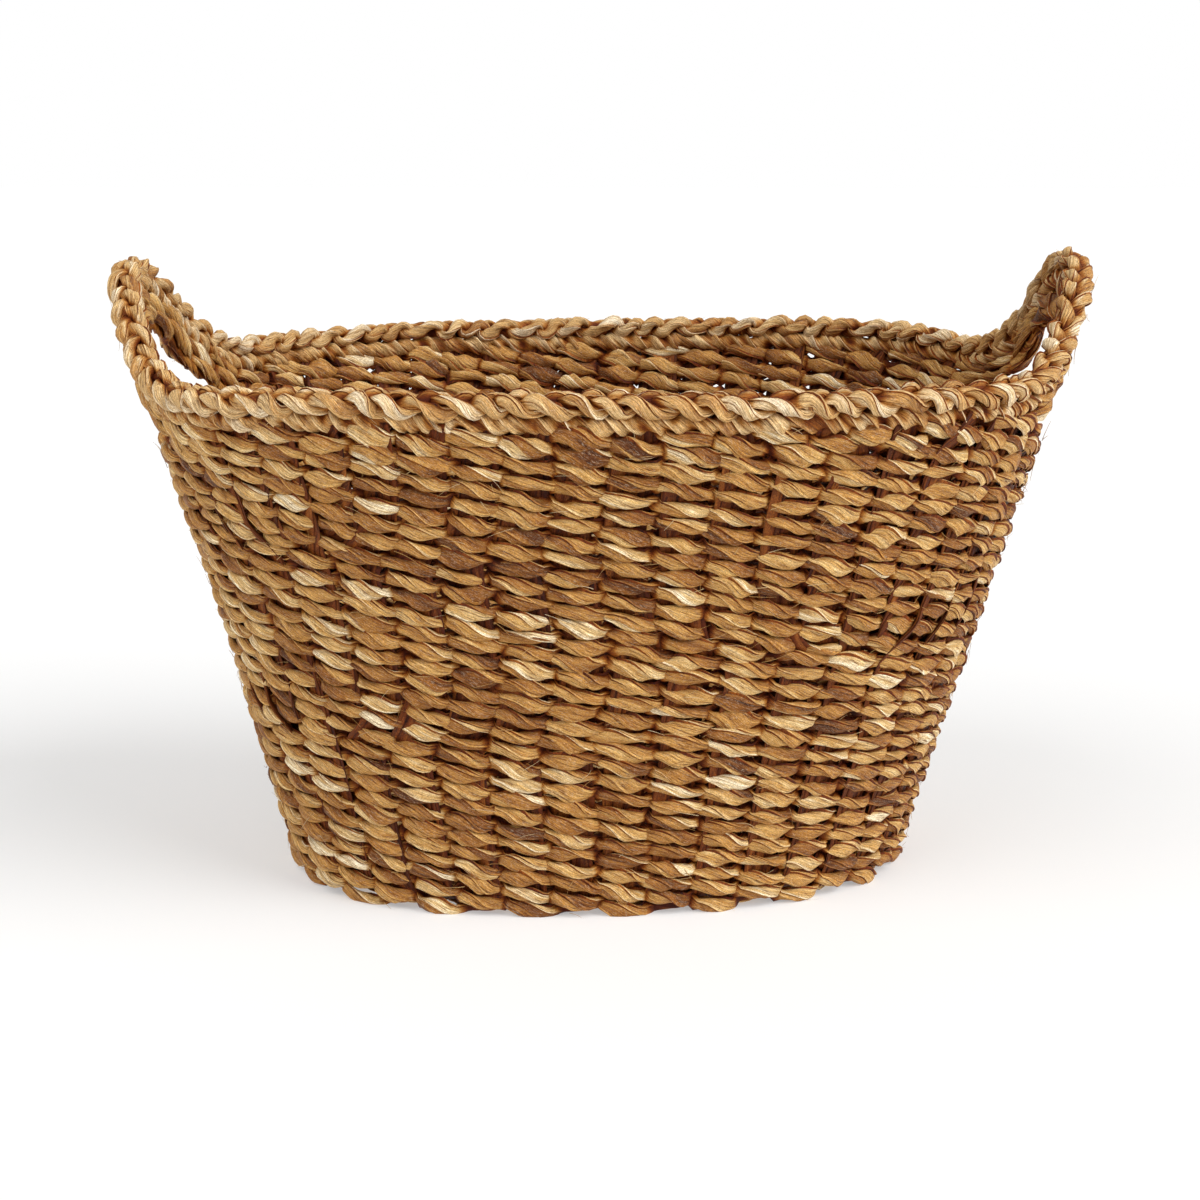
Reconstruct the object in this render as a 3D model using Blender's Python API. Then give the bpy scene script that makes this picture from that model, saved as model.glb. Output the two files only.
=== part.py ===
"""Seagrass storage basket: an oval, flared wall of woven rounds on bent-up stakes, a woven floor, and a
rolled and plaited border that arches up into a hand hole at each end.

Metres, +Z up. The origin is the middle of the footprint, on the surface that the basket stands on, and +X
runs along the basket's length.
"""
import math

import bmesh
import bpy
from mathutils import Vector

# Outer size of the wall. The plan is a superellipse that grows squarer towards the rim.
RIM_Z = 0.281
BASE_HALF_LENGTH = 0.169
BASE_HALF_WIDTH = 0.124
RIM_HALF_LENGTH = 0.250
RIM_HALF_WIDTH = 0.190
BASE_PLAN_POWER = 2.3
RIM_PLAN_POWER = 2.7

# Handles: the top of the wall lifts over a hand hole at each end of the long axis.
ARCH_LIFT = 0.0545
ARCH_HALF_ANGLE = math.radians(36)

# Woven rounds, stacked from the foot up. Each is two rows of cord, in front of and behind alternate stakes.
FOOT_HEIGHT = 0.0105
ROUND_PITCH = 0.0090
WALL_ROUNDS = 26
ARCH_ROUNDS = 2
ROUND_DEPTH = 0.009
ROUND_BULGE = 0.0012
ROUND_GAP = 0.0005
SOLID_GAP = 0.0004

# Border: a rolled rope under a flat plait that covers the stake ends.
PLAIT_HEIGHT = 0.0060
PLAIT_DEPTH = 0.0170
BORDER_OVERHANG = 0.0010

# Stakes: bent up from the floor, close inside the rounds. The wall's slope tips their end faces, so the
# cross stakes stop further below the plait than the other gaps.
STAKE_RADIUS = 0.0022
STAKE_TOP_GAP = 0.0014
STAKE_SIDES = 6
STAKE_ENDS = 40
LONG_STAKES = 6
CROSS_STAKES = 14
STAKE_BEND = 0.012
BOW_RADIUS = 0.0030
BOW_DROP = 0.0020
BOW_CLEARANCE = 0.0015
BOW_HALF_ANGLE = math.radians(30)

# Floor: a woven layer under the crossed stakes and one over them.
FLOOR_LAYER = 0.0030

WALL_TOP_Z = FOOT_HEIGHT + WALL_ROUNDS * ROUND_PITCH
ARCH_TOP_Z = WALL_TOP_Z + ARCH_ROUNDS * ROUND_PITCH
PLAIT_BOTTOM_Z = RIM_Z - PLAIT_HEIGHT
STAKE_INSET = ROUND_DEPTH + SOLID_GAP + STAKE_RADIUS
LONG_STAKE_Z = FLOOR_LAYER + SOLID_GAP + STAKE_RADIUS
CROSS_STAKE_Z = LONG_STAKE_Z + SOLID_GAP + 2 * STAKE_RADIUS
UPPER_FLOOR_Z = CROSS_STAKE_Z + STAKE_RADIUS + SOLID_GAP

COLOURS = {
    "seagrass_wall": (0.50, 0.30, 0.13, 1.0),
    "seagrass_border": (0.60, 0.40, 0.19, 1.0),
    "seagrass_stake": (0.38, 0.22, 0.10, 1.0),
    "seagrass_floor": (0.46, 0.28, 0.13, 1.0),
}


def clear_scene():
    """Remove whatever the open file holds."""
    for item in list(bpy.data.objects):
        bpy.data.objects.remove(item, do_unlink=True)


def make_material(name):
    """Dry plant fibre: matt, not metallic."""
    material = bpy.data.materials.new(name)
    material.use_nodes = True
    shader = material.node_tree.nodes["Principled BSDF"]
    shader.inputs["Base Color"].default_value = COLOURS[name]
    shader.inputs["Roughness"].default_value = 0.75
    shader.inputs["Metallic"].default_value = 0.0
    return material


def mix(low, high, share):
    return low + (high - low) * share


def wall_point(angle, z, inset=0.0):
    """Point of the wall at a plan angle and height, inset from its outer face along the plan's normal."""
    share = z / RIM_Z
    half_length = mix(BASE_HALF_LENGTH, RIM_HALF_LENGTH, share)
    half_width = mix(BASE_HALF_WIDTH, RIM_HALF_WIDTH, share)
    power = mix(BASE_PLAN_POWER, RIM_PLAN_POWER, share)
    cosine, sine = math.cos(angle), math.sin(angle)
    reach = (abs(cosine) ** power + abs(sine) ** power) ** (-1.0 / power)
    across = math.copysign(abs(reach * cosine) ** (power - 1), cosine) / half_length
    along = math.copysign(abs(reach * sine) ** (power - 1), sine) / half_width
    normal = Vector((across, along, 0.0)).normalized()
    return Vector((half_length * reach * cosine, half_width * reach * sine, z)) - normal * inset


def even_angles(count, offset=0.0):
    """Plan angles that split the wall's mid-height outline into equal lengths."""
    samples = 7200
    angles = [2 * math.pi * i / samples for i in range(samples + 1)]
    points = [wall_point(angle, RIM_Z / 2) for angle in angles]
    lengths = [0.0]
    for first, second in zip(points, points[1:]):
        lengths.append(lengths[-1] + (second - first).length)
    found = []
    cursor = 0
    for i in range(count):
        target = lengths[-1] * (i + offset) / count
        while lengths[cursor + 1] < target:
            cursor += 1
        share = (target - lengths[cursor]) / (lengths[cursor + 1] - lengths[cursor])
        found.append(mix(angles[cursor], angles[cursor + 1], share))
    return found


def arch_lift(angle):
    """How far the border and the arch rounds rise above their level course at a plan angle."""
    from_end = math.acos(min(1.0, abs(math.cos(angle))))
    if from_end >= ARCH_HALF_ANGLE:
        return 0.0
    return ARCH_LIFT * 0.5 * (1 + math.cos(math.pi * from_end / ARCH_HALF_ANGLE))


def add_object(name, mesh_data, material):
    """Turn a bmesh into a named object with outward faces."""
    bmesh.ops.recalc_face_normals(mesh_data, faces=mesh_data.faces)
    bmesh.ops.triangulate(mesh_data, faces=mesh_data.faces)
    mesh = bpy.data.meshes.new(name)
    mesh_data.to_mesh(mesh)
    mesh_data.free()
    mesh.materials.append(material)
    item = bpy.data.objects.new(name, mesh)
    bpy.context.scene.collection.objects.link(item)
    return item


def skin_sections(mesh_data, sections, closed):
    """Join a run of matching sections with faces; an open run gets an end face at each end."""
    rings = [[mesh_data.verts.new(point) for point in section] for section in sections]
    sides = len(rings[0])
    pairs = list(zip(rings, rings[1:] + rings[:1])) if closed else list(zip(rings, rings[1:]))
    for near, far in pairs:
        for i in range(sides):
            j = (i + 1) % sides
            mesh_data.faces.new((near[i], near[j], far[j], far[i]))
    if not closed:
        mesh_data.faces.new(list(reversed(rings[0])))
        mesh_data.faces.new(rings[-1])


def add_round(name, angles, z_low, z_high, inset_low, inset_high, bulge, material, lifted=False):
    """One closed course of weaving: a band with a bulging outer face that follows the wall."""
    mesh_data = bmesh.new()
    sections = []
    for angle in angles:
        lift = arch_lift(angle) if lifted else 0.0
        low, high = z_low + lift, z_high + lift
        sections.append([
            wall_point(angle, low, inset_high),
            wall_point(angle, high, inset_high),
            wall_point(angle, high, inset_low + bulge),
            wall_point(angle, (low + high) / 2, inset_low),
            wall_point(angle, low, inset_low + bulge),
        ])
    skin_sections(mesh_data, sections, closed=True)
    return add_object(name, mesh_data, material)


def add_rod(name, path, radius, material):
    """A solid rod of even radius swept along a list of points without twist."""
    directions = []
    for i in range(len(path)):
        before = path[max(i - 1, 0)]
        after = path[min(i + 1, len(path) - 1)]
        directions.append((after - before).normalized())
    side = directions[0].orthogonal().normalized()
    sections = []
    for i, centre in enumerate(path):
        if i:
            side = (directions[i - 1].rotation_difference(directions[i]) @ side).normalized()
        other = directions[i].cross(side)
        sections.append([
            centre + radius * (math.cos(turn) * side + math.sin(turn) * other)
            for turn in (2 * math.pi * k / STAKE_SIDES for k in range(STAKE_SIDES))
        ])
    mesh_data = bmesh.new()
    skin_sections(mesh_data, sections, closed=False)
    return add_object(name, mesh_data, material)


def stake_half(angle, top_z, floor_z, inward):
    """One upright, from its top end down the wall and round the bend onto the floor."""
    heights = [top_z, mix(top_z, floor_z, 0.33), mix(top_z, floor_z, 0.66), floor_z + STAKE_BEND]
    path = [wall_point(angle, z, STAKE_INSET) for z in heights]
    foot = wall_point(angle, floor_z, STAKE_INSET)
    run_out = foot + inward * STAKE_BEND
    path.append((path[-1] + 2 * foot + run_out) / 4)
    path.append(run_out)
    return path


def add_stake(name, near_angle, far_angle, top_z, floor_z, inward, material):
    """A U-shaped stake: up one side of the wall, across the floor and up the other side."""
    near = stake_half(near_angle, top_z, floor_z, inward)
    far = stake_half(far_angle, top_z, floor_z, -inward)
    return add_rod(name, near + list(reversed(far)), STAKE_RADIUS, material)


def add_floor_layer(name, angles, z_low, inset, material):
    """A flat oval layer of the floor, with an outline a given inset inside the wall's outer face."""
    outline = [wall_point(angle, 0.0, inset) for angle in angles]
    sections = [[Vector((point.x, point.y, z)) for point in outline] for z in (z_low, z_low + FLOOR_LAYER)]
    mesh_data = bmesh.new()
    skin_sections(mesh_data, sections, closed=False)
    return add_object(name, mesh_data, material)


def build_wall(materials, station_angles):
    """Foot round, then the level rounds up to the bottom of the hand holes."""
    half_gap = ROUND_GAP / 2
    add_round("foot_round", station_angles, 0.0, FOOT_HEIGHT - half_gap, -BORDER_OVERHANG, ROUND_DEPTH,
              ROUND_BULGE, materials["seagrass_wall"])
    for i in range(WALL_ROUNDS):
        low = FOOT_HEIGHT + i * ROUND_PITCH
        add_round(f"wall_round_{i + 1:02d}", station_angles, low + half_gap, low + ROUND_PITCH - half_gap,
                  0.0, ROUND_DEPTH, ROUND_BULGE, materials["seagrass_wall"])


def build_top(materials):
    """The rounds and the border that arch over both hand holes."""
    angles = even_angles(2 * STAKE_ENDS)
    half_gap = ROUND_GAP / 2
    for i in range(ARCH_ROUNDS):
        low = WALL_TOP_Z + i * ROUND_PITCH
        add_round(f"arch_round_{i + 1}", angles, low + half_gap, low + ROUND_PITCH - half_gap,
                  0.0, ROUND_DEPTH, ROUND_BULGE, materials["seagrass_wall"], lifted=True)
    add_round("border_roll", angles, ARCH_TOP_Z + half_gap, PLAIT_BOTTOM_Z - half_gap,
              -BORDER_OVERHANG, ROUND_DEPTH, 2 * ROUND_BULGE, materials["seagrass_border"], lifted=True)
    add_round("border_plait", angles, PLAIT_BOTTOM_Z + half_gap, RIM_Z,
              -BORDER_OVERHANG, PLAIT_DEPTH, ROUND_BULGE, materials["seagrass_border"], lifted=True)


def build_stakes(materials, station_angles):
    """Crossed U-shaped stakes. The long ones stop under the hand holes, the others end in the border."""
    material = materials["seagrass_stake"]
    quarter = STAKE_ENDS // 4
    first_quadrant = station_angles[:quarter]
    long_angles = first_quadrant[:LONG_STAKES // 2]
    cross_angles = first_quadrant[LONG_STAKES // 2:]
    long_top = WALL_TOP_Z - SOLID_GAP
    cross_top = PLAIT_BOTTOM_Z - STAKE_TOP_GAP
    mirrored_long = [-angle for angle in reversed(long_angles)] + long_angles
    for i, angle in enumerate(mirrored_long):
        add_stake(f"long_stake_{i + 1}", math.pi - angle, angle, long_top, LONG_STAKE_Z,
                  Vector((1, 0, 0)), material)
    mirrored_cross = [math.pi - angle for angle in cross_angles] + list(reversed(cross_angles))
    for i, angle in enumerate(mirrored_cross):
        add_stake(f"cross_stake_{i + 1:02d}", -angle, angle, cross_top, CROSS_STAKE_Z,
                  Vector((0, 1, 0)), material)


def build_handle_bows(materials):
    """The bow that edges the top of each hand hole, close inside the arched rounds."""
    inset = ROUND_DEPTH + BOW_CLEARANCE + BOW_RADIUS
    steps = 16
    for name, end_angle in (("handle_bow_left", math.pi), ("handle_bow_right", 0.0)):
        path = []
        for i in range(steps + 1):
            angle = end_angle + mix(-BOW_HALF_ANGLE, BOW_HALF_ANGLE, i / steps)
            path.append(wall_point(angle, WALL_TOP_Z - BOW_DROP + arch_lift(angle), inset))
        add_rod(name, path, BOW_RADIUS, materials["seagrass_stake"])


def build_floor(materials, station_angles):
    """Woven floor: one layer below the crossed stakes, flush with the foot, and one above them."""
    material = materials["seagrass_floor"]
    add_floor_layer("floor_weave_lower", station_angles, 0.0, ROUND_DEPTH + SOLID_GAP, material)
    upper_inset = STAKE_INSET + STAKE_RADIUS + STAKE_BEND
    add_floor_layer("floor_weave_upper", station_angles, UPPER_FLOOR_Z, upper_inset, material)


def main():
    clear_scene()
    materials = {name: make_material(name) for name in COLOURS}
    station_angles = even_angles(STAKE_ENDS, offset=0.5)
    build_wall(materials, station_angles)
    build_top(materials)
    build_stakes(materials, station_angles)
    build_handle_bows(materials)
    build_floor(materials, station_angles)


main()
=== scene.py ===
"""Looks of the seagrass storage basket: every row of woven cord, the stakes, the floor and the border."""
import math

import bpy
import numpy as np
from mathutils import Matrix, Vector


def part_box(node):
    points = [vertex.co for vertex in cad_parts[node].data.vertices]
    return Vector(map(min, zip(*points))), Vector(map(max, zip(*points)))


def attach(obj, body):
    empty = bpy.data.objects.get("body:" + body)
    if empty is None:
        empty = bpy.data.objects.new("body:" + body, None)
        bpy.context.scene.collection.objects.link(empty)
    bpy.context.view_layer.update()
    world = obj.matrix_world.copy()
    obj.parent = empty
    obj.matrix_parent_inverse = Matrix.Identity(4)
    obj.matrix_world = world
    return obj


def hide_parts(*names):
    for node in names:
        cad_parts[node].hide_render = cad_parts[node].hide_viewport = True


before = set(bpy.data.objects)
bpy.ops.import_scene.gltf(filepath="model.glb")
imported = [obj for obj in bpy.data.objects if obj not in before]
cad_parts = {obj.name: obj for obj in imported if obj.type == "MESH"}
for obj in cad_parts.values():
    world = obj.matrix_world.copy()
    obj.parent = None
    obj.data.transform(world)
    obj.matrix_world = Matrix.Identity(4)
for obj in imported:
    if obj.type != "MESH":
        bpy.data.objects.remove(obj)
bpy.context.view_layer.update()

MM = 0.001

# Plan of the wall, as in the CAD model.
BASE_PLAN_POWER = 2.3
RIM_PLAN_POWER = 2.7
ARCH_HALF_ANGLE = math.radians(36)
BOW_HALF_ANGLE = math.radians(30)
WALL_ROUNDS = 26
ARCH_ROUNDS = 2
FOOT_ROWS = 2
STAKE_ENDS = 40
LONG_STAKES = 6

# Weave. Inset is the depth inside the wall's outer face.
WALL_MIDDLE = 6.7 * MM
STAKE_SPACING = 24.5 * MM
STAKE_HALF_WIDTH = 11.4 * MM
STAKE_HALF_DEPTH = 1.7 * MM
STAKE_STEMS = 8
STAKE_TWIST = 2.2
STAKE_SAMPLE = 4.0 * MM
# Painted shade: one fixed shade value darkens the stakes as if they lie in shade inside the wall.
STAKE_SHADE = 0.36
STAKE_FACES_FROM = (0.0, 0.0, 0.5)
BOW_HALF_WIDTH = 7.5 * MM
BOW_HALF_DEPTH = 2.2 * MM
BOW_DROP = 2.0 * MM
BOW_TWIST = 42.0 * MM
BOW_SAMPLE = 2.0 * MM
# Painted shade: one fixed shade value darkens the handles' bows, which lie under the arch.
BOW_SHADE = 0.62
SAMPLES_PER_STITCH = 10
FLOOR_SAMPLES_PER_STITCH = 7
SWING = 4.0 * MM
CORD_HALF_DEPTH = 2.9 * MM
CORD_HALF_HEIGHT_TIP = 2.2 * MM
CORD_HALF_HEIGHT_FRONT = 5.0 * MM
CORD_HALF_HEIGHT_CROSSING = 5.0 * MM
CORD_TWIST = 60.0 * MM
ARCH_CORD_SIZE = 1.16
FOOT_CORD_SIZE = 1.12
STITCH_TILT = 1.6 * MM
BLADE_WIDTHS = (1.5, 1.0, 0.8, 0.5)

# Unevenness of the hand-woven basket.
BASE_SKEW = 0.07
BASE_FULLNESS = 0.010
BASE_CORNER = 0.030
BASE_SHAPE_TOP = 0.16
LEFT_HANDLE_DROP = 5.0 * MM
BACK_RIM_LEAN = 3.0 * MM
FAR_ARM_DROP_LEFT = 1.0 * MM
FAR_ARM_DROP_RIGHT = 10.0 * MM

# Border: a rolled rope with a three-strand braid on top of it.
BRAID_DROP = 6.2 * MM
BRAID_INSET = 7.6 * MM
BRAID_PITCH = 46.0 * MM
BRAID_SWING_OUT = 5.0 * MM
BRAID_SWING_UP = 3.1 * MM
BRAID_SAMPLES = 27
ROLL_DROP = 15.0 * MM
ROLL_INSET = 7.2 * MM
ROLL_SAMPLES = 760
ROLL_HALF_OUT = 7.0 * MM
ROLL_HALF_UP = 6.2 * MM
ROLL_TWIST = 34.0 * MM
STRAND_HALF_OUT = 4.5 * MM
STRAND_HALF_UP = 4.2 * MM
STRAND_TWIST = 37.0 * MM

# Driving heights, read from the frame.
FIRST_LOW, FIRST_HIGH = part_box("wall_round_01")
LAST_LOW, LAST_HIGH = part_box(f"wall_round_{WALL_ROUNDS:02d}")
PLAIT_LOW, PLAIT_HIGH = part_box("border_plait")
ARCH_LOW, ARCH_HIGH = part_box("arch_round_1")
ROUND_HEIGHT = FIRST_HIGH.z - FIRST_LOW.z
ROUND_PITCH = (LAST_LOW.z - FIRST_LOW.z) / (WALL_ROUNDS - 1)
ROUND_GAP = ROUND_PITCH - ROUND_HEIGHT
WALL_START_Z = FIRST_LOW.z - ROUND_GAP / 2
WALL_TOP_Z = WALL_START_Z + WALL_ROUNDS * ROUND_PITCH
ARCH_LIFT = ARCH_HIGH.z - ARCH_LOW.z - ROUND_HEIGHT
RIM_Z = PLAIT_HIGH.z - ARCH_LIFT
FIRST_Z = (FIRST_LOW.z + FIRST_HIGH.z) / 2
LAST_Z = (LAST_LOW.z + LAST_HIGH.z) / 2

# Floor.
FLOOR_Z = 7.2 * MM
FLOOR_EDGE = 6.0 * MM
FLOOR_PITCH = 5.2 * MM
LONG_STAKE_Z = 5.4 * MM
CROSS_STAKE_Z = 9.6 * MM


def mix(low, high, share):
    return low + (high - low) * share


def unit(vectors):
    return vectors / np.linalg.norm(vectors, axis=-1, keepdims=True)


def dot(first, second):
    return np.sum(first * second, axis=-1)


def smooth(low, high, value):
    """0 below low, 1 above high, with an eased change between."""
    share = np.clip((value - low) / (high - low), 0.0, 1.0)
    return share * share * (3 - 2 * share)


# ---------------------------------------------------------------- the basket's surfaces

def size_at(z):
    """Half length, half width and squareness of the wall's plan at a height."""
    share = (z - FIRST_Z) / (LAST_Z - FIRST_Z)
    half_length = mix(FIRST_HIGH.x, LAST_HIGH.x, share)
    half_width = mix(FIRST_HIGH.y, LAST_HIGH.y, share)
    return half_length, half_width, mix(BASE_PLAN_POWER, RIM_PLAN_POWER, z / RIM_Z)


def plan_point(angle, half_length, half_width, power, z):
    """Point of a superellipse at plan angles."""
    cosine, sine = np.cos(angle), np.sin(angle)
    reach = (np.abs(cosine) ** power + np.abs(sine) ** power) ** (-1.0 / power)
    x, y = half_length * reach * cosine, half_width * reach * sine
    return np.stack([x, y, z + np.zeros_like(x)], axis=-1)


def wall_point(angle, z):
    """Point of the wall's outer face at plan angles and heights."""
    half_length, half_width, power = size_at(z)
    return plan_point(angle, half_length, half_width, power, z)


def arch_lift(angle):
    """How far the handles lift the top rows at plan angles."""
    from_end = np.arccos(np.minimum(1.0, np.abs(np.cos(angle))))
    wave = 0.5 * (1 + np.cos(math.pi * from_end / ARCH_HALF_ANGLE))
    return np.where(from_end < ARCH_HALF_ANGLE, ARCH_LIFT * wave, 0.0)


def even_angle_table(samples=7200):
    """Fractions of the mid-height outline's length, and the plan angle at each."""
    angles = np.linspace(0, 2 * math.pi, samples + 1)
    points = wall_point(angles, np.full_like(angles, RIM_Z / 2))
    steps = np.linalg.norm(np.diff(points, axis=0), axis=1)
    lengths = np.concatenate([[0.0], np.cumsum(steps)])
    return lengths / lengths[-1], angles


EVEN_FRACTIONS, EVEN_ANGLES = even_angle_table()


def plan_angle(u):
    """Plan angle at a fraction u of the way round, counter-clockwise from +X."""
    turns = np.floor(u)
    return np.interp(u - turns, EVEN_FRACTIONS, EVEN_ANGLES) + 2 * math.pi * turns


def level_wall(u, z):
    return wall_point(plan_angle(u), z)


def arched_wall(u, z):
    angle = plan_angle(u)
    return wall_point(angle, z + arch_lift(angle))


def floor_surface(u, inset):
    """Middle surface of the floor: rings that shrink by their inset to a line along the basket."""
    half_length, half_width, power = size_at(FLOOR_Z)
    power = mix(2.0, power, np.clip(1 - inset / half_width, 0, 1))
    return plan_point(plan_angle(u), half_length - inset, half_width - inset, power, FLOOR_Z)


def course(surface, u, v, inset=0.0):
    """Centre line, outward and upward directions of a surface's line v at fractions u, less an inset."""
    tiny = 1e-4
    along = surface(u + tiny, v) - surface(u - tiny, v)
    rise = surface(u, v + tiny) - surface(u, v - tiny)
    outward = unit(np.cross(along, rise))
    upward = unit(np.cross(outward, along))
    return surface(u, v) - outward * inset, outward, upward


def even_course(surface, v, inset, count):
    """A course whose fractions are spread evenly along its own length."""
    dense = np.linspace(0, 1, 2001)
    points, _, _ = course(surface, dense, v, inset)
    lengths = np.concatenate([[0.0], np.cumsum(np.linalg.norm(np.diff(points, axis=0), axis=1))])
    u = np.interp(np.arange(count) / count * lengths[-1], lengths, dense)
    return course(surface, u, v, inset)


def course_length(surface, v, inset=0.0):
    points, _, _ = course(surface, np.linspace(0, 1, 361), v, inset)
    return np.linalg.norm(np.diff(points, axis=0), axis=1).sum()


def settle(points):
    """The basket's own slight lean and twist, which hand weaving leaves."""
    x, y, z = points[:, 0], points[:, 1], points[:, 2]
    low = 1 - smooth(0.0, BASE_SHAPE_TOP, z)
    corner = np.abs(x * y) / (FIRST_HIGH.x * FIRST_HIGH.y) * (1 - smooth(0.0, BASE_SHAPE_TOP / 3, z))
    fuller = 1 + BASE_FULLNESS * low + BASE_CORNER * corner
    new_x = fuller * x
    new_y = fuller * (y + BASE_SKEW * low * x)
    high = smooth(WALL_TOP_Z * 0.6, RIM_Z, z)
    left_end = smooth(0.45 * LAST_HIGH.x, 0.9 * LAST_HIGH.x, -x)
    back = smooth(-0.2 * LAST_HIGH.y, 0.6 * LAST_HIGH.y, y) * (1 - left_end)
    far = y / LAST_HIGH.y
    far_arm = smooth(0.15, 0.40, far) * (1 - 0.85 * smooth(0.48, 0.80, far)) * smooth(WALL_TOP_Z, RIM_Z, z)
    arm_drop = np.where(x < 0, FAR_ARM_DROP_LEFT, FAR_ARM_DROP_RIGHT)
    arm_drop = arm_drop * smooth(0.55, 0.80, np.abs(x) / LAST_HIGH.x)
    new_z = z - LEFT_HANDLE_DROP * high * left_end + BACK_RIM_LEAN * high * back * x / LAST_HIGH.x
    new_z = new_z - arm_drop * far_arm
    return np.stack([new_x, new_y, np.maximum(new_z, 0.0)], axis=-1)


# ---------------------------------------------------------------- meshes

class Builder:
    """Collects tubes of quads and their attributes into one mesh."""

    def __init__(self):
        self.points, self.faces = [], []
        self.attributes = {"tone": [], "along": [], "across": [], "shade": []}
        self.count = 0

    def sweep(self, rings, tone, along, across, shade, closed=True):
        """Adds a tube through rings (samples x sides x 3); the attributes broadcast to samples x sides."""
        samples, sides = rings.shape[:2]
        index = self.count + np.arange(samples * sides).reshape(samples, sides)
        near, far = (index, np.roll(index, -1, axis=0)) if closed else (index[:-1], index[1:])
        quads = np.stack([near, far, np.roll(far, -1, axis=1), np.roll(near, -1, axis=1)], axis=-1)
        self.faces.append(quads.reshape(-1, 4))
        self.points.append(rings.reshape(-1, 3))
        values = {"tone": tone, "along": along, "across": across, "shade": shade}
        for name, value in values.items():
            self.attributes[name].append(np.broadcast_to(value, (samples, sides)).reshape(-1))
        self.count += samples * sides
        if not closed:
            self.cap(index[0])
            self.cap(index[-1][::-1])

    def cap(self, ring):
        """Closes a tube's end with quads; the ring has an even number of points."""
        sides = len(ring)
        first = np.arange(sides // 2 - 1)
        near, far = ring[first], ring[sides - 1 - first]
        quads = np.stack([near, ring[first + 1], ring[sides - 2 - first], far], axis=-1)
        self.faces.append(quads)

    def finish(self, name, material, slot, *nodes):
        """Makes the object, sets it on the body and hides the CAD nodes it stands for."""
        points = settle(np.concatenate(self.points)).astype(np.float32)
        faces = np.concatenate(self.faces).astype(np.int32)
        mesh = bpy.data.meshes.new(name)
        mesh.vertices.add(len(points))
        mesh.vertices.foreach_set("co", points.ravel())
        mesh.loops.add(faces.size)
        mesh.loops.foreach_set("vertex_index", faces.ravel())
        mesh.polygons.add(len(faces))
        mesh.polygons.foreach_set("loop_start", np.arange(0, faces.size, 4, dtype=np.int32))
        mesh.polygons.foreach_set("use_smooth", np.ones(len(faces), dtype=bool))
        for key, parts in self.attributes.items():
            layer = mesh.attributes.new(key, "FLOAT", "POINT")
            layer.data.foreach_set("value", np.concatenate(parts).astype(np.float32))
        mesh.update(calc_edges=True)
        mesh.materials.append(material)
        item = bpy.data.objects.new(name, mesh)
        bpy.context.scene.collection.objects.link(item)
        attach(item, "root")
        if nodes:
            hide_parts(*nodes)
        return item


def wobble(rng, u, low, high, size):
    """Smooth noise of u that repeats at 1, with low to high waves."""
    total = np.zeros_like(u)
    for _ in range(4):
        wave = rng.integers(low, high + 1)
        total += np.sin(2 * math.pi * (wave * u + rng.random())) * rng.normal(0, 1)
    return total * size / 1.5


def per_stitch(rng, position, count, size):
    """Random value for each stitch, eased from one to the next; position counts stitches."""
    values = rng.normal(0, size, count)
    low = np.floor(position).astype(int)
    ease = smooth(0, 1, position - low)
    return mix(values[low % count], values[(low + 1) % count], ease)


# ---------------------------------------------------------------- cords

def across_path(path, outward, closed):
    """Two directions square to a path and to each other, the first close to the outward direction."""
    if closed:
        along = np.roll(path, -1, axis=0) - np.roll(path, 1, axis=0)
    else:
        along = np.gradient(path, axis=0)
    along = unit(along)
    side = unit(outward - along * dot(outward, along)[:, None])
    return side, np.cross(side, along)


def path_run(path, closed):
    """Distance along a path at each point, and its whole length."""
    steps = np.linalg.norm(np.roll(path, -1, axis=0) - path, axis=1)
    run = np.concatenate([[0.0], np.cumsum(steps)])
    return run[:-1], run[-1] if closed else run[-2]


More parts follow.
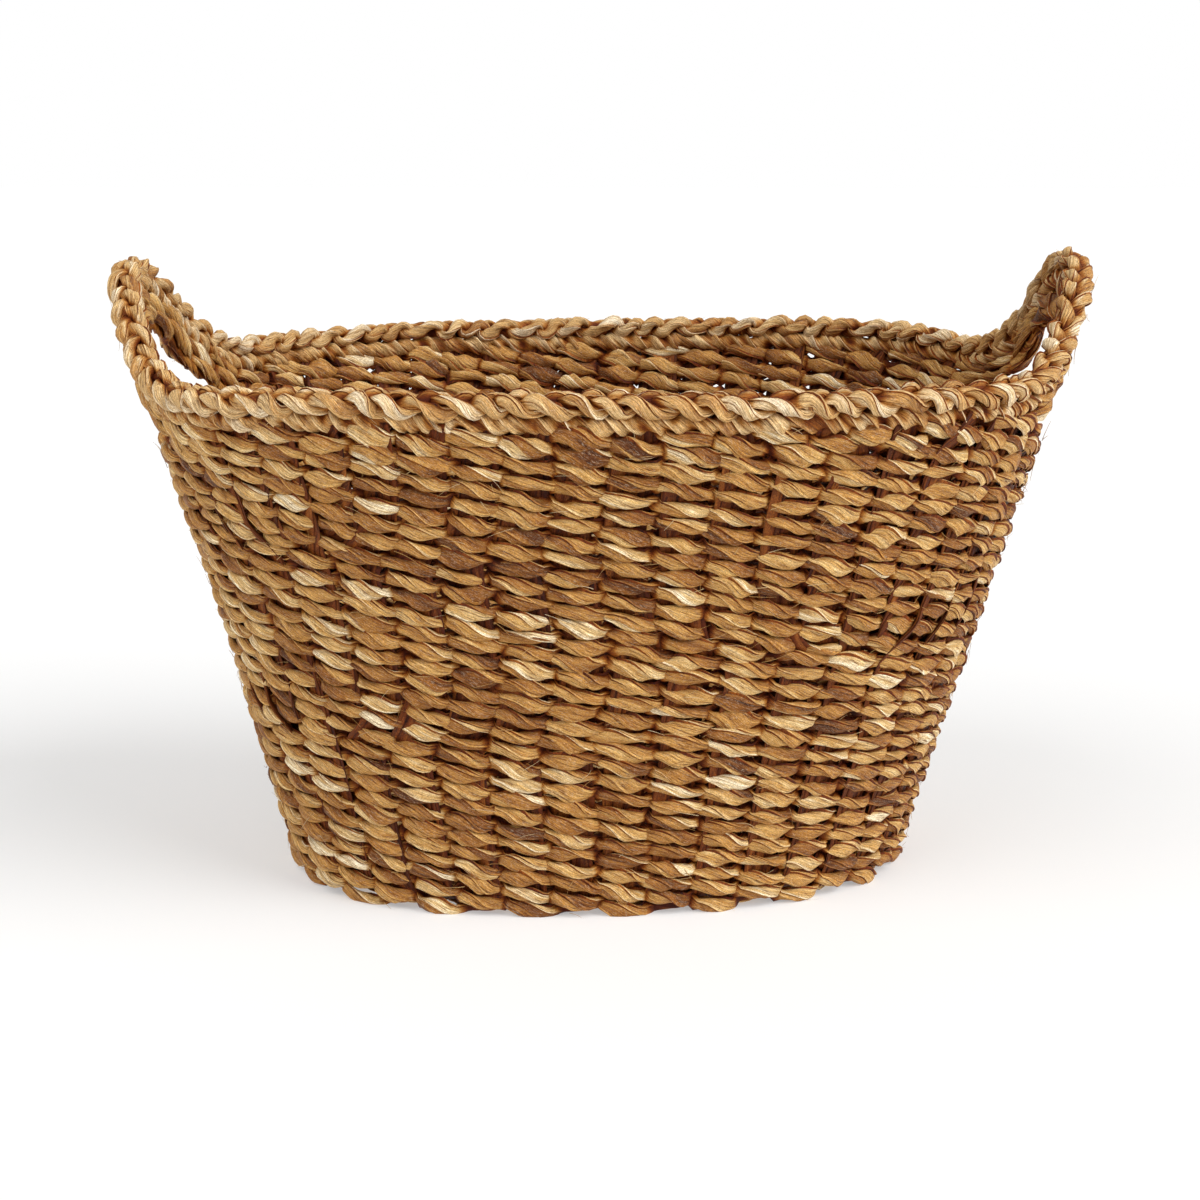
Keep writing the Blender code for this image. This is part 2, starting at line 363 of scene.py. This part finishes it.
def add_cord(builder, rng, path, outward, half_out, half_up, exposure, plies, pitch,
             arc_points=8, tuck=0.10, overlap=0.09, widths=None, closed=True):
    """Blades of seagrass twisted into one cord along a path, its section squeezed to the two half sizes.

    exposure gives how open to the light a point is, from 0 to 1. It sets the shade attribute, which paints
    shade into the colour.
    """
    samples = len(path)
    side, lift = across_path(path, outward, closed)
    run, length = path_run(path, closed)
    turns = max(1, int(round(length / (pitch * rng.uniform(0.85, 1.18)))))
    u = run / length
    twist = -2 * math.pi * (turns * u + rng.random())
    twist = twist + wobble(rng, u, max(1, turns // 4), turns + 1, 0.25)
    gap = 2 * math.pi / plies
    shares = np.ones(plies) if widths is None else np.array(widths)
    starts = 2 * math.pi * np.concatenate([[0.0], np.cumsum(shares)[:-1]]) / shares.sum()
    edges = [start + wobble(rng, u, max(1, turns // 3), turns + 2, 0.22 * gap) for start in starts]
    edges.append(edges[0] + 2 * math.pi)
    spread = (0.5 - 0.5 * np.cos(np.linspace(0, math.pi, arc_points)))[None, :]
    place = 2 * spread - 1
    for ply in range(plies):
        start, width = edges[ply][:, None], np.maximum(edges[ply + 1] - edges[ply], 0.25 * gap)[:, None]
        arc = start + width * spread
        flat = np.cos(np.minimum(width / 2, 1.25)) / np.cos(place * np.minimum(width / 2, 1.25))
        flatness = np.clip(0.58 + wobble(rng, u, turns, 3 * turns + 3, 0.22), 0, 0.9)[:, None]
        radius = mix(1.0, flat, flatness * (1 - place ** 4))
        radius = radius - tuck * place ** 4 - overlap * place
        crease = wobble(rng, u, 2, turns + 3, 0.45)[:, None]
        radius = radius - rng.uniform(0.02, 0.09) * np.exp(-((place - crease) / 0.22) ** 2)
        radius = radius * (1 + wobble(rng, u, 2 * turns, 6 * turns + 6, 0.035))[:, None]
        inner = np.full((samples, 1), 0.22)
        radius = np.concatenate([radius, inner, inner], axis=1)
        arc = np.concatenate([arc, arc[:, -1:], arc[:, :1]], axis=1)
        rim = np.concatenate([np.abs(place[0]), [1.0, 1.0]])[None, :]
        turn = twist[:, None] + arc
        out = half_out[:, None] * radius * np.cos(turn)
        up = half_up[:, None] * radius * np.sin(turn)
        rings = path[:, None, :] + side[:, None, :] * out[..., None] + lift[:, None, :] * up[..., None]
        visit = np.floor(turn / math.pi + 0.5).astype(int)
        visits = np.clip(rng.normal(0.5, 0.30, 4 * turns + 9), 0, 1)
        tone = 0.72 * visits[visit % len(visits)] + 0.28 * rng.random()
        # Painted highlight: a lighter tone along each blade's raised edge.
        tone = tone + 0.20 * smooth(-0.60, -0.88, np.append(place[0], [1, 1]))[None, :]
        # Painted shade: recessed points are darkened, and each blade's edges get a dark line where they tuck
        # under their neighbours.
        shade = exposure(rings) * (1 - 0.8 * smooth(0.93, 1.0, rim))
        builder.sweep(rings, tone, (run + rng.random() * 9)[:, None], arc / math.pi + rng.random() * 50,
                      shade, closed)


def add_fibres(builder, rng, path, outward, upward, count, reach):
    """Stray fibres that spring from a cord's face and lie across its neighbours."""
    for _ in range(count):
        i = rng.integers(len(path))
        along = unit(np.cross(upward[i], outward[i]))
        length = rng.uniform(5, 15) * MM
        heading = rng.normal(0, 0.8) + (math.pi if rng.random() < 0.5 else 0.0)
        forward = along * math.cos(heading) + upward[i] * math.sin(heading) * 0.7
        bend = rng.normal(0, 0.25)
        t = np.linspace(0, 1, 6)[:, None]
        rise = (0.4 + rng.uniform(0.0, 1.8) * t) * t * MM
        line = path[i] + outward[i] * (reach + rise) + forward * t * length
        line = line + np.cross(outward[i], forward) * bend * length * t * t
        radius = (rng.uniform(0.10, 0.22) * MM * (1 - 0.6 * t))[:, 0]
        side, lift = across_path(line, np.broadcast_to(outward[i], line.shape), False)
        turn = np.arange(4) * math.pi / 2
        ring = np.cos(turn)[None, :, None] * side[:, None, :] + np.sin(turn)[None, :, None] * lift[:, None, :]
        rings = line[:, None, :] + ring * radius[:, None, None]
        tone = rng.uniform(0.3, 1.0)
        builder.sweep(rings, tone, t * length + rng.random(), turn[None, :] / math.pi, 0.95, False)


# ---------------------------------------------------------------- woven rows

def wall_exposure(centre, outward, reach):
    """Painted shade: darkens what lies near the middle of the wall's thickness, where the weave is in shade.
    """
    def exposure(rings):
        depth = np.abs(dot(rings - centre[:, None, :], outward[:, None, :])) / reach
        return smooth(0.10, 0.56, depth)
    return exposure


def add_row(builder, rng, stakes, parity, surface, v, inset, size=1.0, samples=SAMPLES_PER_STITCH):
    """One row of cord, in front of every other stake and behind the rest."""
    count = len(stakes)
    position = np.arange(count * samples) / samples
    stakes = stakes + rng.normal(0, 0.070 / count, count)
    u = np.interp(position, np.arange(count + 1), np.append(stakes, stakes[0] + 1))
    centre, outward, upward = course(surface, u, v, inset)
    wave = np.cos(math.pi * (position + parity))
    swing = np.sign(wave) * np.abs(wave) ** 0.46
    bulge = np.abs(wave) ** 1.05
    crossing = np.exp(-(wave / 0.22) ** 2)
    shift_out = SWING * swing * (1 + per_stitch(rng, position, count, 0.09))
    lean = -STITCH_TILT * (1 + per_stitch(rng, position, count, 0.50)) * np.sin(math.pi * (position + parity))
    shift_up = lean + per_stitch(rng, position, count, 0.26 * MM) + wobble(rng, u, 2, 9, 0.18 * MM)
    front = CORD_HALF_HEIGHT_FRONT * (1 + per_stitch(rng, position, count, 0.15))
    half_up = size * mix(mix(CORD_HALF_HEIGHT_TIP, front, bulge), CORD_HALF_HEIGHT_CROSSING, crossing)
    half_out = CORD_HALF_DEPTH * (1 + 0.10 * (1 - bulge) + per_stitch(rng, position, count, 0.09))
    path = centre + outward * shift_out[:, None] + upward * shift_up[:, None]
    # Painted shade on the parts of the cord that lie deep in the wall.
    exposure = wall_exposure(centre, outward, SWING + CORD_HALF_DEPTH)
    add_cord(builder, rng, path, outward, half_out, half_up, exposure,
             plies=len(BLADE_WIDTHS), pitch=CORD_TWIST, tuck=0.14,
             overlap=0.15, widths=rng.permutation(BLADE_WIDTHS))
    add_fibres(builder, rng, centre, outward, upward, count // 3, SWING + CORD_HALF_DEPTH * 0.8)


def spread_stakes(stakes, born, wanted, newest, rng):
    """Evens out the stakes' spacing a little and adds a pair where the row has grown long enough for it."""
    if len(stakes) + 2 <= wanted:
        corner = (0.13, 0.62, 0.37, 0.88)[(newest // 2) % 4] + rng.uniform(-0.03, 0.03)
        i = int(np.argmin(np.abs(stakes % 1.0 - corner)))
        i = min(max(i, 1), len(stakes) - 2)
        step = 0.45 * (stakes[i + 1] - stakes[i - 1]) / 2
        stakes = np.insert(stakes, [i, i + 1], [stakes[i] - step, stakes[i] + step])
        born = born[:i] + [newest, born[i], newest + 1] + born[i + 1:]
        newest += 2
    for _ in range(6):
        before, after = np.roll(stakes, 1), np.roll(stakes, -1)
        before[0] -= 1
        after[-1] += 1
        stakes = stakes + 0.5 * ((before + after) / 2 - stakes)
    return stakes, born, newest


def stake_rows(lengths, start_count, first_name, seed):
    """Where the stakes stand in each row, as fractions of the way round, and which stake each one is."""
    rng = np.random.default_rng(seed)
    stakes = (np.arange(start_count) + 0.5) / start_count
    born, newest = list(range(start_count)), first_name
    rows = []
    for length in lengths:
        stakes, born, newest = spread_stakes(stakes, born, length / STAKE_SPACING, newest, rng)
        rows.append((stakes.copy(), list(born)))
    return rows


def wall_rows():
    """Heights of the rows, with the stakes' places in each."""
    foot_pitch = WALL_START_Z / FOOT_ROWS
    row_pitch = ROUND_PITCH / 2
    heights = [foot_pitch * (i + 0.5) for i in range(FOOT_ROWS)]
    heights += [WALL_START_Z + row_pitch * (i + 0.5) for i in range(2 * (WALL_ROUNDS + ARCH_ROUNDS))]
    lengths = [course_length(level_wall, z, WALL_MIDDLE) for z in heights]
    return heights, stake_rows(lengths, STAKE_ENDS, STAKE_ENDS, 11)


def make_wall(material, heights, rows):
    """Every row of the wall, in pieces of two rows, one for each round of the CAD model."""
    nodes = ["foot_round"] + [f"wall_round_{i + 1:02d}" for i in range(WALL_ROUNDS)]
    nodes += [f"arch_round_{i + 1}" for i in range(ARCH_ROUNDS)]
    for i, node in enumerate(nodes):
        builder = Builder()
        rng = np.random.default_rng(1000 + i)
        surface = arched_wall if node.startswith("arch") else level_wall
        size = {"foot": FOOT_CORD_SIZE, "arch": ARCH_CORD_SIZE}.get(node.split("_")[0], 1.0)
        for row in (2 * i, 2 * i + 1):
            add_row(builder, rng, rows[row][0], row % 2, surface, heights[row], WALL_MIDDLE, size=size)
        builder.finish(f"{node}_cords", material, "seagrass_wall", node)


# ---------------------------------------------------------------- border

def round_exposure(centre, reach):
    """Painted shade: darkens what lies near a line, the shaded core of a border cord."""
    def exposure(rings):
        depth = np.linalg.norm(rings - centre[:, None, :], axis=-1) / reach
        return smooth(0.30, 0.95, depth)
    return exposure


def make_border(material):
    """The rolled rope and the braid along the basket's top edge."""
    rng = np.random.default_rng(77)
    builder = Builder()
    centre, outward, upward = even_course(arched_wall, RIM_Z - ROLL_DROP, ROLL_INSET, ROLL_SAMPLES)
    position = np.arange(ROLL_SAMPLES) / ROLL_SAMPLES
    half_out = ROLL_HALF_OUT * (1 + wobble(rng, position, 20, 60, 0.05))
    half_up = ROLL_HALF_UP * (1 + wobble(rng, position, 20, 60, 0.05))
    path = centre + upward * wobble(rng, position, 8, 30, 0.5 * MM)[:, None]
    # Painted shade near the roll's core.
    add_cord(builder, rng, path, outward, half_out, half_up, round_exposure(centre, 6.5 * MM),
             plies=3, pitch=ROLL_TWIST, arc_points=10, tuck=0.16, overlap=0.12)
    add_fibres(builder, rng, centre, outward, upward, 25, ROLL_HALF_OUT)
    builder.finish("border_roll_rope", material, "seagrass_border", "border_roll")

    builder = Builder()
    length = course_length(arched_wall, RIM_Z - BRAID_DROP, BRAID_INSET)
    cycles = int(round(length / BRAID_PITCH))
    count = cycles * BRAID_SAMPLES
    centre, outward, upward = even_course(arched_wall, RIM_Z - BRAID_DROP, BRAID_INSET, count)
    position = np.arange(count) / count
    # Painted shade near the braid's middle.
    exposure = round_exposure(centre, 7.5 * MM)
    stray = wobble(rng, position, 6, 40, 0.05)
    for strand in range(3):
        phase = 2 * math.pi * (cycles * position + strand / 3 + stray)
        swing = BRAID_SWING_OUT * np.sin(phase) * (1 + wobble(rng, position, 9, 60, 0.07))
        rise = BRAID_SWING_UP * np.sin(2 * phase) * (1 + wobble(rng, position, 9, 60, 0.12))
        rise = rise + wobble(rng, position, 9, 50, 0.35 * MM)
        path = centre + outward * swing[:, None] + upward * rise[:, None]
        half_out = STRAND_HALF_OUT * (1 + wobble(rng, position, 15, 70, 0.08))
        half_up = STRAND_HALF_UP * (1 + wobble(rng, position, 15, 70, 0.08))
        add_cord(builder, rng, path, outward, half_out, half_up, exposure,
                 plies=3, pitch=STRAND_TWIST, arc_points=10, tuck=0.16, overlap=0.10, widths=(1.3, 1.0, 0.7))
    add_fibres(builder, rng, centre, outward, upward, 35, 8.0 * MM)
    add_fibres(builder, rng, centre, upward, -outward, 35, 5.0 * MM)
    builder.finish("border_plait_strands", material, "seagrass_border", "border_plait")


# ---------------------------------------------------------------- floor and stakes

def make_floor(material):
    """The floor: rings of cord woven round the crossed stakes, from a line along the middle outwards."""
    _, half_width, _ = size_at(FLOOR_Z)
    first_inset = WALL_MIDDLE + FLOOR_EDGE
    insets = list(np.arange(first_inset, half_width - 3 * MM, FLOOR_PITCH))[::-1]
    lengths = [course_length(floor_surface, inset) for inset in insets]
    start = 2 * max(2, int(round(lengths[0] / STAKE_SPACING / 2)))
    rows = stake_rows(lengths, start, start, 23)
    middle = len(insets) // 2
    parts = (("floor_weave_upper", range(0, middle)), ("floor_weave_lower", range(middle, len(insets))))
    for node, indices in parts:
        builder = Builder()
        rng = np.random.default_rng(500 + len(indices))
        for i in indices:
            add_row(builder, rng, rows[i][0], i % 2, floor_surface, insets[i], 0.0,
                    samples=FLOOR_SAMPLES_PER_STITCH)
        builder.finish(f"{node}_cords", material, "seagrass_floor", node)


def smooth_path(points, spacing):
    """Points spread evenly along a smoothed line through the given ones."""
    points = np.array(points)
    for _ in range(2):
        points[1:-1] = 0.25 * points[:-2] + 0.5 * points[1:-1] + 0.25 * points[2:]
    run = np.concatenate([[0.0], np.cumsum(np.linalg.norm(np.diff(points, axis=0), axis=1))])
    even = np.linspace(0, run[-1], max(6, int(run[-1] / spacing)))
    return np.stack([np.interp(even, run, points[:, axis]) for axis in range(3)], axis=-1)


def add_stake(name, points, material, *nodes):
    """One stake: a flat bunch of stems side by side along a path, with its flat face away from the middle."""
    builder = Builder()
    rng = np.random.default_rng(sum(ord(letter) for letter in name))
    path = smooth_path(points, STAKE_SAMPLE)
    outward = unit(path - np.array(STAKE_FACES_FROM))
    run = np.linspace(0, 1, len(path))
    depth = STAKE_HALF_DEPTH * (1 + wobble(rng, run, 2, 14, 0.08))
    width = STAKE_HALF_WIDTH * (1 + wobble(rng, run, 2, 14, 0.06))
    # Painted shade: the whole stake gets the same fixed shade value.
    add_cord(builder, rng, path, outward, depth, width, lambda rings: np.full(rings.shape[:2], STAKE_SHADE),
             plies=STAKE_STEMS, pitch=STAKE_TWIST, arc_points=4, closed=False)
    builder.finish(name, material, "seagrass_stake", *nodes)


def add_bow(side, points, material):
    """One handle's bow: blades wound round each other into a flat band along the top of the hand hole."""
    name = f"handle_bow_{side}"
    builder = Builder()
    rng = np.random.default_rng(sum(ord(letter) for letter in name))
    path = smooth_path(points, BOW_SAMPLE)
    outward = unit(path - np.array((0.0, 0.0, RIM_Z + 2 * ARCH_LIFT)))
    run = np.linspace(0, 1, len(path))
    depth = BOW_HALF_DEPTH * (1 + wobble(rng, run, 2, 14, 0.08))
    width = BOW_HALF_WIDTH * (1 + wobble(rng, run, 2, 14, 0.06))
    # Painted shade: the whole bow gets the same fixed shade value.
    add_cord(builder, rng, path, outward, depth, width, lambda rings: np.full(rings.shape[:2], BOW_SHADE),
             plies=4, pitch=BOW_TWIST, tuck=0.14, overlap=0.12, closed=False)
    builder.finish(f"{name}_cord", material, "seagrass_stake", name)


def upright(heights, rows, stake, top_z):
    """Points of one stake up the middle of the wall, from its first row to its top."""
    points = []
    for z, (stakes, born) in zip(heights, rows):
        if stake not in born or z > WALL_TOP_Z and z > top_z:
            continue
        u = np.array([stakes[born.index(stake)]])
        surface = arched_wall if z > WALL_TOP_Z else level_wall
        if z > WALL_TOP_Z and arch_lift(plan_angle(u))[0] > 2 * MM:
            break
        points.append(course(surface, u, z, WALL_MIDDLE)[0][0])
    else:
        if top_z > WALL_TOP_Z:
            points.append(course(arched_wall, u, RIM_Z - ROLL_DROP, WALL_MIDDLE)[0][0])
    return points


def make_stakes(material, wall_material, heights, rows):
    """Long and cross stakes, up both sides and across the floor; added stakes; and the handles' bows."""
    top = RIM_Z
    quarter = STAKE_ENDS // 4
    half_long = LONG_STAKES // 2
    right_long = [STAKE_ENDS - 1 - i for i in range(half_long)][::-1] + list(range(half_long))
    left_of = {i: 2 * quarter - 1 - i for i in range(half_long)}
    left_of.update({STAKE_ENDS - 1 - i: 2 * quarter + i for i in range(half_long)})
    for i, stake in enumerate(right_long):
        near = upright(heights, rows, left_of[stake], WALL_TOP_Z)
        far = upright(heights, rows, stake, WALL_TOP_Z)
        add_stake(f"long_stake_{i + 1}_cord", join_across(near, far, LONG_STAKE_Z), material,
                  f"long_stake_{i + 1}")
    back = list(range(half_long, 2 * quarter - half_long))[::-1]
    for i, stake in enumerate(back):
        near = upright(heights, rows, STAKE_ENDS - 1 - stake, top)
        far = upright(heights, rows, stake, top)
        add_stake(f"cross_stake_{i + 1:02d}_cord", join_across(near, far, CROSS_STAKE_Z), material,
                  f"cross_stake_{i + 1:02d}")
    added = sorted({name for _, born in rows for name in born if name >= STAKE_ENDS})
    for stake in added:
        points = upright(heights, rows, stake, top)
        if len(points) > 4:
            add_stake(f"added_stake_{stake - STAKE_ENDS + 1:02d}_cord", points, material)
    z = WALL_TOP_Z - BOW_DROP + BOW_HALF_WIDTH - BOW_HALF_DEPTH
    for side, end in (("left", 0.5), ("right", 0.0)):
        angles = end * 2 * math.pi + np.linspace(-BOW_HALF_ANGLE, BOW_HALF_ANGLE, 40)
        u = np.interp(angles % (2 * math.pi), EVEN_ANGLES, EVEN_FRACTIONS)
        points = course(arched_wall, u, z, WALL_MIDDLE)[0]
        add_bow(side, points, wall_material)


def join_across(near, far, z):
    """Path up one side of the basket, across the floor at height z and up the other side."""
    near_foot, far_foot = near[0].copy(), far[0].copy()
    near_foot[2] = far_foot[2] = z
    across = [mix(near_foot, far_foot, share) for share in np.linspace(0.03, 0.97, 24)]
    return near[::-1] + across + far


# ---------------------------------------------------------------- materials

class Nodes:
    """Short ways to add shader nodes to one material."""

    def __init__(self, name):
        self.material = bpy.data.materials.new(name)
        self.material.use_nodes = True
        self.tree = self.material.node_tree
        self.shader = self.tree.nodes["Principled BSDF"]

    def add(self, kind, **values):
        item = self.tree.nodes.new(kind)
        for key, value in values.items():
            setattr(item, key, value)
        return item

    def feed(self, socket, value):
        if isinstance(value, bpy.types.NodeSocket):
            self.tree.links.new(value, socket)
        else:
            socket.default_value = (*value, 1.0) if isinstance(value, tuple) else value

    def attribute(self, key):
        return self.add("ShaderNodeAttribute", attribute_name=key).outputs["Fac"]

    def maths(self, operation, first, second):
        item = self.add("ShaderNodeMath", operation=operation)
        self.feed(item.inputs[0], first)
        self.feed(item.inputs[1], second)
        return item.outputs[0]

    def ramp(self, factor, stops):
        item = self.add("ShaderNodeValToRGB")
        elements = item.color_ramp.elements
        while len(elements) < len(stops):
            elements.new(0.5)
        for element, (place, colour) in zip(elements, stops):
            element.position = place
            element.color = (*colour, 1.0)
        self.feed(item.inputs["Fac"], factor)
        return item.outputs["Color"]

    def mixed(self, blend, factor, first, second):
        item = self.add("ShaderNodeMix", data_type="RGBA", blend_type=blend)
        self.feed(item.inputs[0], factor)
        self.feed(item.inputs[6], first)
        self.feed(item.inputs[7], second)
        return item.outputs[2]

    def noise(self, scales, detail, roughness=0.6):
        """Noise over the blade: scales are for the distance along it, across it and its tone."""
        combine = self.add("ShaderNodeCombineXYZ")
        for socket, key, scale in zip(combine.inputs, ("along", "across", "tone"), scales):
            self.feed(socket, self.maths("MULTIPLY", self.attribute(key), scale))
        item = self.add("ShaderNodeTexNoise")
        item.inputs["Scale"].default_value = 1.0
        item.inputs["Detail"].default_value = detail
        item.inputs["Roughness"].default_value = roughness
        self.feed(item.inputs["Vector"], combine.outputs[0])
        return item.outputs["Fac"]


def straw_material(name, colours, painted_shade_stops):
    """Dry seagrass: each blade has its own tone, and streaks and scuffs run along it. Painted shade from the
    shade attribute darkens the hollows.
    """
    nodes = Nodes(name)
    nodes.shader.inputs["Specular IOR Level"].default_value = 0.2
    streak = nodes.noise((110.0, 16.0, 9.0), 5.0, 0.7)
    patch = nodes.noise((55.0, 4.0, 5.0), 3.0)
    fleck = nodes.noise((620.0, 34.0, 9.0), 3.0, 0.7)
    shift = nodes.maths("MULTIPLY", nodes.maths("SUBTRACT", patch, 0.5), 0.95)
    colour = nodes.ramp(nodes.maths("ADD", nodes.attribute("tone"), shift), colours)
    tint = nodes.ramp(streak, [(0.36, (0.24, 0.13, 0.06)), (0.45, (0.82, 0.74, 0.64)),
                               (0.55, (1.06, 1.04, 1.00)), (0.65, (1.48, 1.60, 1.74))])
    colour = nodes.mixed("MULTIPLY", 1.0, colour, tint)
    grain = nodes.ramp(nodes.noise((1100.0, 62.0, 9.0), 3.0, 0.75), [
        (0.40, (0.50, 0.42, 0.34)), (0.49, (0.98, 0.97, 0.95)), (0.60, (1.36, 1.40, 1.44))])
    colour = nodes.mixed("MULTIPLY", 0.9, colour, grain)
    scuff = nodes.ramp(fleck, [(0.54, (0.0, 0.0, 0.0)), (0.68, (1.0, 1.0, 1.0))])
    colour = nodes.mixed("MIX", nodes.maths("MULTIPLY", scuff, 0.42), colour, (0.82, 0.68, 0.50))
    # Painted shade: the shade attribute darkens the colour through a dark red ramp where the weave lies in
    # shade.
    painted_shade_colour = nodes.ramp(nodes.attribute("shade"), painted_shade_stops)
    colour = nodes.mixed("MULTIPLY", 1.0, colour, painted_shade_colour)
    nodes.feed(nodes.shader.inputs["Base Color"], colour)
    rough = nodes.maths("ADD", nodes.maths("MULTIPLY", streak, 0.30), 0.42)
    nodes.feed(nodes.shader.inputs["Roughness"], rough)
    bump = nodes.add("ShaderNodeBump")
    bump.inputs["Strength"].default_value = 0.8
    bump.inputs["Distance"].default_value = 0.70 * MM
    nodes.feed(bump.inputs["Height"], nodes.maths("ADD", streak, nodes.maths("MULTIPLY", fleck, 0.3)))
    nodes.feed(nodes.shader.inputs["Normal"], bump.outputs["Normal"])
    return nodes.material


# Painted shade: colours multiplied in by the shade attribute. They are dark red where the weave is deep in
# shade and white where it is open.
PAINTED_SHADE_COLOURS = [
    (0.00, (0.16, 0.035, 0.004)),
    (0.30, (0.38, 0.15, 0.035)),
    (0.62, (0.66, 0.43, 0.19)),
    (0.94, (1.0, 1.0, 1.0)),
]
WALL_COLOURS = [
    (0.00, (0.110, 0.030, 0.004)),
    (0.20, (0.290, 0.105, 0.016)),
    (0.45, (0.480, 0.228, 0.050)),
    (0.68, (0.630, 0.370, 0.115)),
    (0.86, (0.760, 0.540, 0.255)),
    (1.00, (0.900, 0.770, 0.540)),
]
BORDER_COLOURS = [
    (0.00, (0.30, 0.12, 0.028)),
    (0.22, (0.52, 0.26, 0.075)),
    (0.48, (0.66, 0.41, 0.160)),
    (0.72, (0.76, 0.54, 0.280)),
    (1.00, (0.88, 0.75, 0.550)),
]
STAKE_COLOURS = [
    (0.00, (0.14, 0.05, 0.015)),
    (0.50, (0.36, 0.17, 0.05)),
    (1.00, (0.60, 0.38, 0.17)),
]


# ---------------------------------------------------------------- stage

CAMERA_LENS = 75.0
CAMERA_DISTANCE = 1.40
CAMERA_ELEVATION = math.radians(12.0)
CAMERA_AZIMUTH = math.radians(0.8)
CAMERA_AIM = Vector((-0.0005, 0.0, 0.1430))


def aim_at(item, place, target):
    item.location = place
    item.rotation_mode = "QUATERNION"
    item.rotation_quaternion = (target - Vector(place)).to_track_quat("-Z", "Y")


def add_sun(name, azimuth, elevation, strength, width):
    """Soft light from a direction: degrees to the camera's left, degrees up, and degrees across."""
    data = bpy.data.lights.new(name, "SUN")
    data.energy = strength
    data.angle = math.radians(width)
    light = bpy.data.objects.new(name, data)
    bpy.context.scene.collection.objects.link(light)
    turn, rise = math.radians(azimuth), math.radians(elevation)
    place = Vector((-math.sin(turn) * math.cos(rise), -math.cos(turn) * math.cos(rise), math.sin(rise)))
    aim_at(light, place * 2, Vector((0, 0, 0)))


def make_world():
    """White surroundings: bright to the camera, softer as a light."""
    world = bpy.data.worlds.new("studio")
    world.use_nodes = True
    tree = world.node_tree
    light = tree.nodes["Background"]
    light.inputs["Color"].default_value = (1.0, 1.0, 1.0, 1.0)
    light.inputs["Strength"].default_value = 0.40
    backdrop = tree.nodes.new("ShaderNodeBackground")
    backdrop.inputs["Color"].default_value = (1.0, 1.0, 1.0, 1.0)
    path = tree.nodes.new("ShaderNodeLightPath")
    blend = tree.nodes.new("ShaderNodeMixShader")
    tree.links.new(path.outputs["Is Camera Ray"], blend.inputs["Fac"])
    tree.links.new(light.outputs[0], blend.inputs[1])
    tree.links.new(backdrop.outputs[0], blend.inputs[2])
    tree.links.new(blend.outputs[0], tree.nodes["World Output"].inputs["Surface"])
    bpy.context.scene.world = world


def make_stage():
    """Plain pale floor, soft light and the camera."""
    scene = bpy.context.scene
    material = bpy.data.materials.new("pale_floor")
    material.use_nodes = True
    shader = material.node_tree.nodes["Principled BSDF"]
    shader.inputs["Base Color"].default_value = (0.62, 0.62, 0.615, 1.0)
    shader.inputs["Emission Color"].default_value = (1.0, 1.0, 1.0, 1.0)
    shader.inputs["Emission Strength"].default_value = 0.36
    shader.inputs["Roughness"].default_value = 0.95
    mesh = bpy.data.meshes.new("floor")
    reach = 8.0
    corners = [(-reach, -reach, 0), (reach, -reach, 0), (reach, reach, 0), (-reach, reach, 0)]
    mesh.from_pydata(corners, [], [(0, 1, 2, 3)])
    mesh.materials.append(material)
    floor = bpy.data.objects.new("floor", mesh)
    scene.collection.objects.link(floor)
    make_world()
    add_sun("left_light", 42.0, 46.0, 1.12, 50.0)
    add_sun("right_light", -62.0, 36.0, 2.40, 50.0)
    camera = bpy.data.objects.new("camera", bpy.data.cameras.new("camera"))
    camera.data.lens = CAMERA_LENS
    camera.data.sensor_width = 36.0
    scene.collection.objects.link(camera)
    level = math.cos(CAMERA_ELEVATION)
    sideways, backward = math.sin(CAMERA_AZIMUTH) * level, -math.cos(CAMERA_AZIMUTH) * level
    back = Vector((sideways, backward, math.sin(CAMERA_ELEVATION)))
    aim_at(camera, CAMERA_AIM + back * CAMERA_DISTANCE, CAMERA_AIM)
    scene.camera = camera
    scene.view_settings.view_transform = "Standard"


def main():
    make_stage()
    wall = straw_material("seagrass_cord", WALL_COLOURS, PAINTED_SHADE_COLOURS)
    border = straw_material("seagrass_border_cord", BORDER_COLOURS, PAINTED_SHADE_COLOURS)
    stake = straw_material("seagrass_stake_cord", STAKE_COLOURS, PAINTED_SHADE_COLOURS)
    heights, rows = wall_rows()
    make_wall(wall, heights, rows)
    make_border(border)
    make_floor(wall)
    make_stakes(stake, wall, heights, rows)


main()
